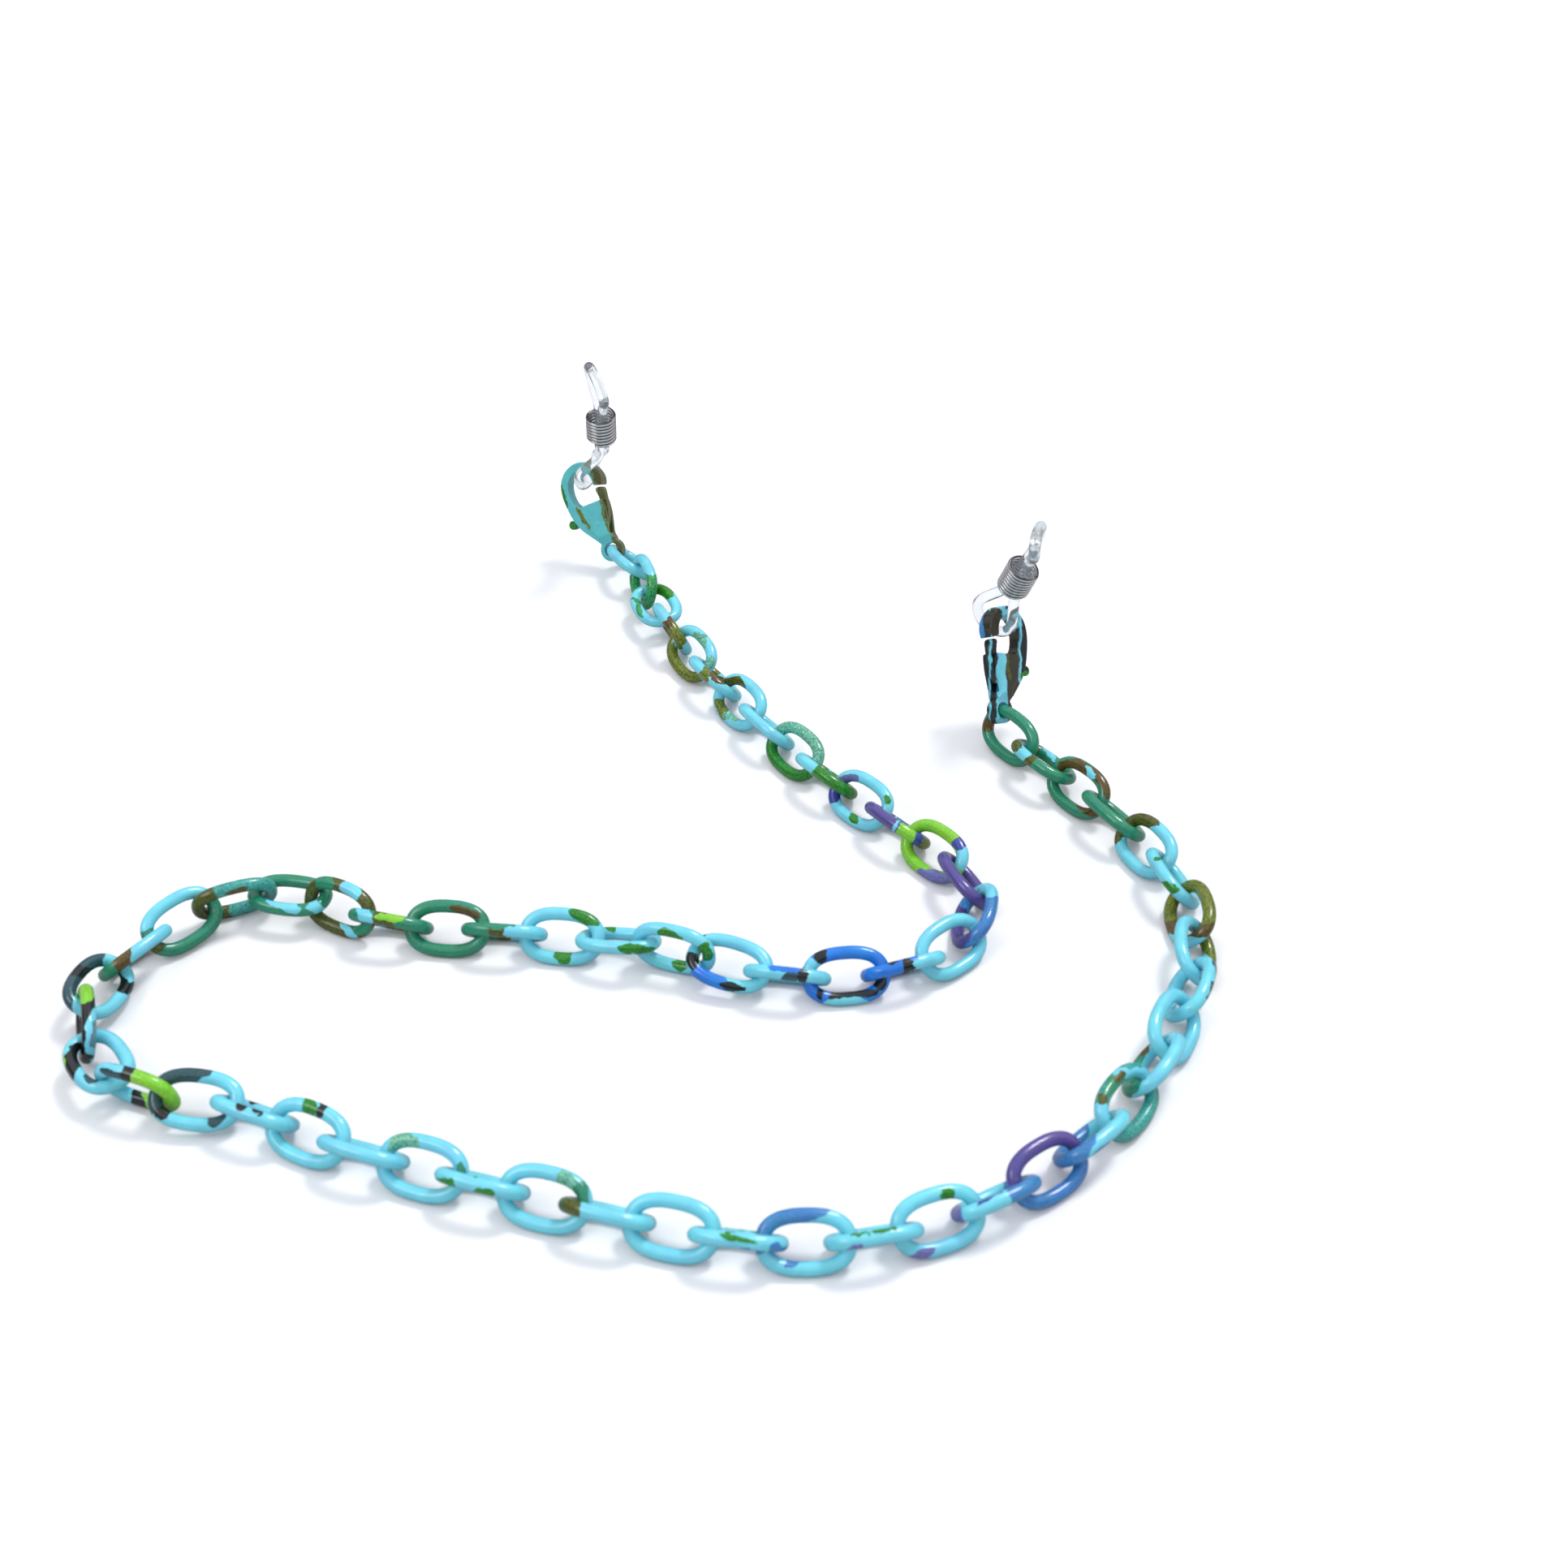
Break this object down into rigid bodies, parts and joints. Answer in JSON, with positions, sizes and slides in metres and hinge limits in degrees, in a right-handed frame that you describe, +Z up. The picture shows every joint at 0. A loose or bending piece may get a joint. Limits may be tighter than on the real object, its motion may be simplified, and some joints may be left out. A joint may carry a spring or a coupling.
{
  "type": "eyeglass chain",
  "caption": "Enamelled cable-link eyeglass chain with a lobster clasp and a clear silicone temple loop at each end, lying in a wide S.",
  "frame": {"origin": "centre of the bounding box's footprint, on the table", "axes": "+Z up from the table, +X to the viewer's right along the chain's long bends, +Y away from the viewer towards the glasses"},
  "size_m": [0.1604, 0.1802, 0.0392],
  "materials": {
    "sky_enamel": "gloss",
    "green_enamel": "gloss",
    "teal_enamel": "gloss",
    "olive_enamel": "gloss",
    "purple_enamel": "gloss",
    "royal_enamel": "gloss",
    "slate_enamel": "gloss",
    "lime_enamel": "gloss",
    "clear_silicone": "clear and glossy",
    "coil_wire": "polished",
    "inner_steel": "satin"
  },
  "bodies": {
    "left_clasp": {"left_clasp_body": "sky_enamel", "left_clasp_pin": "inner_steel", "left_clasp_spring": "inner_steel"},
    "left_lever": {"left_clasp_lever": "sky_enamel"},
    "left_coil": {"left_coil_slider": "coil_wire"},
    "left_loop": {"left_silicone_loop": "clear_silicone"},
    "link_01": {"link_01": "sky_enamel"},
    "link_02": {"link_02": "sky_enamel"},
    "link_05": {"link_05": "olive_enamel"},
    "link_06": {"link_06": "olive_enamel"},
    "link_09": {"link_09": "green_enamel"},
    "link_10": {"link_10": "green_enamel"},
    "link_13": {"link_13": "lime_enamel"},
    "link_14": {"link_14": "purple_enamel"},
    "link_17": {"link_17": "royal_enamel"},
    "link_18": {"link_18": "royal_enamel"},
    "link_21": {"link_21": "sky_enamel"},
    "link_22": {"link_22": "sky_enamel"},
    "link_25": {"link_25": "teal_enamel"},
    "link_26": {"link_26": "teal_enamel"},
    "link_29": {"link_29": "teal_enamel"},
    "link_30": {"link_30": "teal_enamel"},
    "link_33": {"link_33": "slate_enamel"},
    "link_34": {"link_34": "slate_enamel"},
    "link_37": {"link_37": "sky_enamel"},
    "link_38": {"link_38": "sky_enamel"},
    "link_41": {"link_41": "sky_enamel"},
    "link_42": {"link_42": "sky_enamel"},
    "link_45": {"link_45": "sky_enamel"},
    "link_46": {"link_46": "sky_enamel"},
    "link_49": {"link_49": "sky_enamel"},
    "link_50": {"link_50": "purple_enamel"},
    "link_53": {"link_53": "sky_enamel"},
    "link_54": {"link_54": "sky_enamel"},
    "link_57": {"link_57": "olive_enamel"},
    "link_58": {"link_58": "sky_enamel"},
    "link_61": {"link_61": "teal_enamel"},
    "link_62": {"link_62": "teal_enamel"},
    "link_63": {"link_63": "teal_enamel"},
    "links_03_04": {"links_03_04": "green_enamel"},
    "links_07_08": {"links_07_08": "sky_enamel"},
    "links_11_12": {"links_11_12": "sky_enamel"},
    "links_15_16": {"links_15_16": "purple_enamel"},
    "links_19_20": {"links_19_20": "sky_enamel"},
    "links_23_24": {"links_23_24": "sky_enamel"},
    "links_27_28": {"links_27_28": "teal_enamel"},
    "links_31_32": {"links_31_32": "slate_enamel"},
    "links_35_36": {"links_35_36": "sky_enamel"},
    "links_39_40": {"links_39_40": "sky_enamel"},
    "links_43_44": {"links_43_44": "sky_enamel"},
    "links_47_48": {"links_47_48": "sky_enamel"},
    "links_51_52": {"links_51_52": "purple_enamel"},
    "links_55_56": {"links_55_56": "sky_enamel"},
    "links_59_60": {"links_59_60": "sky_enamel"},
    "right_clasp": {"right_clasp_body": "slate_enamel", "right_clasp_pin": "inner_steel", "right_clasp_spring": "inner_steel"},
    "right_lever": {"right_clasp_lever": "slate_enamel"},
    "right_coil": {"right_coil_slider": "coil_wire"},
    "right_loop": {"right_silicone_loop": "clear_silicone"}
  },
  "joints": [
    {"name": "left_clasp_hinge", "type": "hinge", "parent": "link_01", "child": "left_clasp", "pos_m": [-0.0129, 0.07804, 0.004], "axis": [0.3165, 0.8415, -0.4379], "range_deg": [-60, 60]},
    {"name": "left_coil_slide", "type": "slide", "parent": "left_loop", "child": "left_coil", "axis": [0.0336, -0.2015, 0.9789], "range_m": [-0.003, 0.001]},
    {"name": "left_lever_hinge", "type": "hinge", "parent": "left_clasp", "child": "left_lever", "pos_m": [-0.01515, 0.08086, 0.00779], "axis": [-0.3165, -0.8415, 0.4379], "range_deg": [0, 28]},
    {"name": "left_loop_hinge", "type": "hinge", "parent": "left_clasp", "child": "left_loop", "pos_m": [-0.01758, 0.08629, 0.01646], "axis": [0.909, -0.4011, -0.1138], "range_deg": [-60, 60]},
    {"name": "link_01_hinge", "type": "hinge", "parent": "link_02", "child": "link_01", "pos_m": [-0.00832, 0.07161, 0.00404], "axis": [-0.2515, -0.0777, -0.9647], "range_deg": [-45, 45]},
    {"name": "link_02_hinge", "type": "hinge", "parent": "links_03_04", "child": "link_02", "pos_m": [-0.00604, 0.06394, 0.00407], "axis": [-0.9363, -0.341, -0.0841], "range_deg": [-45, 45]},
    {"name": "link_05_hinge", "type": "hinge", "parent": "link_06", "child": "link_05", "pos_m": [0.00413, 0.04093, 0.00321], "axis": [-0.6076, -0.3617, 0.7071], "range_deg": [-45, 45]},
    {"name": "link_06_hinge", "type": "hinge", "parent": "links_07_08", "child": "link_06", "pos_m": [0.0082, 0.03405, 0.00321], "axis": [-0.6015, -0.3718, -0.7071], "range_deg": [-45, 45]},
    {"name": "link_09_hinge", "type": "hinge", "parent": "link_10", "child": "link_09", "pos_m": [0.02182, 0.01284, 0.00321], "axis": [0.5573, 0.4352, -0.7071], "range_deg": [-45, 45]},
    {"name": "link_10_hinge", "type": "hinge", "parent": "links_11_12", "child": "link_10", "pos_m": [0.02669, 0.0065, 0.00321], "axis": [-0.5385, -0.4583, -0.7071], "range_deg": [-45, 45]},
    {"name": "link_13_hinge", "type": "hinge", "parent": "link_14", "child": "link_13", "pos_m": [0.04316, -0.01267, 0.00321], "axis": [-0.6587, -0.257, 0.7071], "range_deg": [-45, 45]},
    {"name": "link_14_hinge", "type": "hinge", "parent": "links_15_16", "child": "link_14", "pos_m": [0.04692, -0.02007, 0.00321], "axis": [-0.6958, 0.1262, -0.7071], "range_deg": [-45, 45]},
    {"name": "link_17_hinge", "type": "hinge", "parent": "link_18", "child": "link_17", "pos_m": [0.03227, -0.03792, 0.00321], "axis": [0.0831, -0.7022, -0.7071], "range_deg": [-45, 40]},
    {"name": "link_18_hinge", "type": "hinge", "parent": "links_19_20", "child": "link_18", "pos_m": [0.02432, -0.03927, 0.0032], "axis": [0.111, 0.6983, -0.7071], "range_deg": [-45, 40]},
    {"name": "link_21_hinge", "type": "hinge", "parent": "link_22", "child": "link_21", "pos_m": [0.00001, -0.03278, 0.00427], "axis": [0.2521, 0.8899, -0.3803], "range_deg": [-45, 45]},
    {"name": "link_22_hinge", "type": "hinge", "parent": "links_23_24", "child": "link_22", "pos_m": [-0.00771, -0.03082, 0.00321], "axis": [-0.0914, -0.7012, -0.7071], "range_deg": [-45, 45]},
    {"name": "link_25_hinge", "type": "hinge", "parent": "link_26", "child": "link_25", "pos_m": [-0.0328, -0.02816, 0.00312], "axis": [-0.0677, -0.7063, 0.7047], "range_deg": [-45, 45]},
    {"name": "link_26_hinge", "type": "hinge", "parent": "links_27_28", "child": "link_26", "pos_m": [-0.04078, -0.02712, 0.00391], "axis": [-0.1832, -0.336, -0.9239], "range_deg": [-45, 40]},
    {"name": "link_29_hinge", "type": "hinge", "parent": "link_30", "child": "link_29", "pos_m": [-0.0644, -0.02332, 0.004], "axis": [-0.5561, 0.4407, 0.7047], "range_deg": [-45, 45]},
    {"name": "link_30_hinge", "type": "hinge", "parent": "links_31_32", "child": "link_30", "pos_m": [-0.0701, -0.02895, 0.0032], "axis": [-0.5926, 0.3858, -0.7071], "range_deg": [-45, 45]},
    {"name": "link_33_hinge", "type": "hinge", "parent": "links_31_32", "child": "link_33", "pos_m": [-0.07739, -0.0466, 0.00416], "axis": [-0.8377, 0.2253, 0.4975], "range_deg": [-45, 45]},
    {"name": "link_34_hinge", "type": "hinge", "parent": "link_33", "child": "link_34", "pos_m": [-0.07418, -0.05421, 0.00404], "axis": [-0.2465, -0.0789, -0.9659], "range_deg": [-20, 45]},
    {"name": "link_37_hinge", "type": "hinge", "parent": "links_35_36", "child": "link_37", "pos_m": [-0.05231, -0.06376, 0.00309], "axis": [-0.1238, -0.8586, -0.4975], "range_deg": [-45, 45]},
    {"name": "link_38_hinge", "type": "hinge", "parent": "link_37", "child": "link_38", "pos_m": [-0.0451, -0.06743, 0.00321], "axis": [-0.2884, -0.6456, 0.7071], "range_deg": [-45, 45]},
    {"name": "link_41_hinge", "type": "hinge", "parent": "links_39_40", "child": "link_41", "pos_m": [-0.02169, -0.07667, 0.00321], "axis": [-0.2289, -0.669, -0.7071], "range_deg": [-30, 45]},
    {"name": "link_42_hinge", "type": "hinge", "parent": "link_41", "child": "link_42", "pos_m": [-0.01408, -0.0791, 0.00321], "axis": [0.2175, 0.6728, -0.7071], "range_deg": [-30, 45]},
    {"name": "link_45_hinge", "type": "hinge", "parent": "links_43_44", "child": "link_45", "pos_m": [0.01009, -0.08625, 0.00321], "axis": [-0.185, -0.6825, -0.7071], "range_deg": [-25, 45]},
    {"name": "link_46_hinge", "type": "hinge", "parent": "link_45", "child": "link_46", "pos_m": [0.01803, -0.08723, 0.00321], "axis": [-0.102, -0.6997, 0.7071], "range_deg": [-45, 20]},
    {"name": "link_49_hinge", "type": "hinge", "parent": "links_47_48", "child": "link_49", "pos_m": [0.04235, -0.08151, 0.00321], "axis": [0.2702, -0.6535, -0.7071], "range_deg": [-25, 45]},
    {"name": "link_50_hinge", "type": "hinge", "parent": "link_49", "child": "link_50", "pos_m": [0.0491, -0.07719, 0.00321], "axis": [-0.3634, 0.6066, -0.7071], "range_deg": [-45, 45]},
    {"name": "link_53_hinge", "type": "hinge", "parent": "links_51_52", "child": "link_53", "pos_m": [0.06612, -0.05878, 0.00321], "axis": [0.576, -0.4102, -0.7071], "range_deg": [-25, 45]},
    {"name": "link_54_hinge", "type": "hinge", "parent": "link_53", "child": "link_54", "pos_m": [0.06995, -0.05176, 0.00321], "axis": [0.6138, -0.3511, 0.7071], "range_deg": [-45, 45]},
    {"name": "link_57_hinge", "type": "hinge", "parent": "links_55_56", "child": "link_57", "pos_m": [0.0774, -0.02784, 0.00321], "axis": [0.6977, -0.1148, -0.7071], "range_deg": [-45, 45]},
    {"name": "link_58_hinge", "type": "hinge", "parent": "link_57", "child": "link_58", "pos_m": [0.07671, -0.01984, 0.00321], "axis": [-0.7063, -0.033, -0.7071], "range_deg": [-45, 45]},
    {"name": "link_61_hinge", "type": "hinge", "parent": "links_59_60", "child": "link_61", "pos_m": [0.06585, 0.00278, 0.00367], "axis": [0.6363, 0.4393, -0.6341], "range_deg": [-45, 45]},
    {"name": "link_62_hinge", "type": "hinge", "parent": "link_61", "child": "link_62", "pos_m": [0.06119, 0.00928, 0.00361], "axis": [0.4557, 0.3196, 0.8308], "range_deg": [-45, 45]},
    {"name": "link_63_hinge", "type": "hinge", "parent": "link_62", "child": "link_63", "pos_m": [0.05644, 0.01609, 0.00394], "axis": [-0.7132, -0.5176, 0.4727], "range_deg": [-45, 45]},
    {"name": "links_03_04_hinge", "type": "hinge", "parent": "link_05", "child": "links_03_04", "pos_m": [0.00014, 0.04819, 0.00394], "axis": [0.6445, 0.2959, 0.705], "range_deg": [-45, 45]},
    {"name": "links_07_08_hinge", "type": "hinge", "parent": "link_09", "child": "links_07_08", "pos_m": [0.01717, 0.01972, 0.00321], "axis": [0.5828, 0.4004, 0.7071], "range_deg": [-45, 45]},
    {"name": "links_11_12_hinge", "type": "hinge", "parent": "link_13", "child": "links_11_12", "pos_m": [0.03763, -0.0064, 0.00321], "axis": [0.5489, 0.4458, 0.7071], "range_deg": [-45, 45]},
    {"name": "links_15_16_hinge", "type": "hinge", "parent": "link_17", "child": "links_15_16", "pos_m": [0.04, -0.0348, 0.00321], "axis": [0.2438, -0.6638, 0.7071], "range_deg": [-45, 45]},
    {"name": "links_19_20_hinge", "type": "hinge", "parent": "link_21", "child": "links_19_20", "pos_m": [0.00789, -0.03551, 0.00415], "axis": [0, 0, 1], "range_deg": [-35, 45]},
    {"name": "links_23_24_hinge", "type": "hinge", "parent": "link_25", "child": "links_23_24", "pos_m": [-0.02451, -0.02889, 0.00321], "axis": [0.0698, 0.7037, 0.7071], "range_deg": [-45, 45]},
    {"name": "links_27_28_hinge", "type": "hinge", "parent": "link_29", "child": "links_27_28", "pos_m": [-0.05645, -0.02052, 0.00391], "axis": [0.1463, -0.3536, 0.9239], "range_deg": [-45, 40]},
    {"name": "links_35_36_hinge", "type": "hinge", "parent": "link_34", "child": "links_35_36", "pos_m": [-0.06908, -0.06083, 0.00404], "axis": [0.8163, 0.5777, 0], "range_deg": [0, 45]},
    {"name": "links_39_40_hinge", "type": "hinge", "parent": "link_38", "child": "links_39_40", "pos_m": [-0.03769, -0.07116, 0.00321], "axis": [0.3138, 0.6336, 0.7071], "range_deg": [-45, 35]},
    {"name": "links_43_44_hinge", "type": "hinge", "parent": "link_42", "child": "links_43_44", "pos_m": [-0.00614, -0.08153, 0.00321], "axis": [0.2083, 0.6757, 0.7071], "range_deg": [-45, 25]},
    {"name": "links_47_48_hinge", "type": "hinge", "parent": "link_46", "child": "links_47_48", "pos_m": [0.02634, -0.08687, 0.00321], "axis": [-0.0147, 0.707, 0.7071], "range_deg": [-45, 20]},
    {"name": "links_51_52_hinge", "type": "hinge", "parent": "link_50", "child": "links_51_52", "pos_m": [0.05556, -0.07195, 0.00321], "axis": [-0.436, 0.5567, 0.7071], "range_deg": [-45, 25]},
    {"name": "links_55_56_hinge", "type": "hinge", "parent": "link_54", "child": "links_55_56", "pos_m": [0.07346, -0.04423, 0.00321], "axis": [-0.6379, 0.3052, 0.7071], "range_deg": [-45, 35]},
    {"name": "links_59_60_hinge", "type": "hinge", "parent": "link_58", "child": "links_59_60", "pos_m": [0.07428, -0.01187, 0.00321], "axis": [-0.6822, -0.1861, 0.7071], "range_deg": [-45, 45]},
    {"name": "right_clasp_hinge", "type": "hinge", "parent": "link_63", "child": "right_clasp", "pos_m": [0.05326, 0.02253, 0.00617], "axis": [0.6397, -0.5795, 0.5049], "range_deg": [-60, 60]},
    {"name": "right_coil_slide", "type": "slide", "parent": "right_loop", "child": "right_coil", "axis": [0.2573, -0.3573, 0.8979], "range_m": [-0.0012, 0.0028]},
    {"name": "right_lever_hinge", "type": "hinge", "parent": "right_clasp", "child": "right_lever", "pos_m": [0.05362, 0.02618, 0.0099], "axis": [-0.6397, 0.5795, -0.5049], "range_deg": [0, 28]},
    {"name": "right_loop_hinge", "type": "hinge", "parent": "right_clasp", "child": "right_loop", "pos_m": [0.05252, 0.03234, 0.01836], "axis": [-0.6015, -0.7864, -0.1405], "range_deg": [-60, 60]}
  ]
}
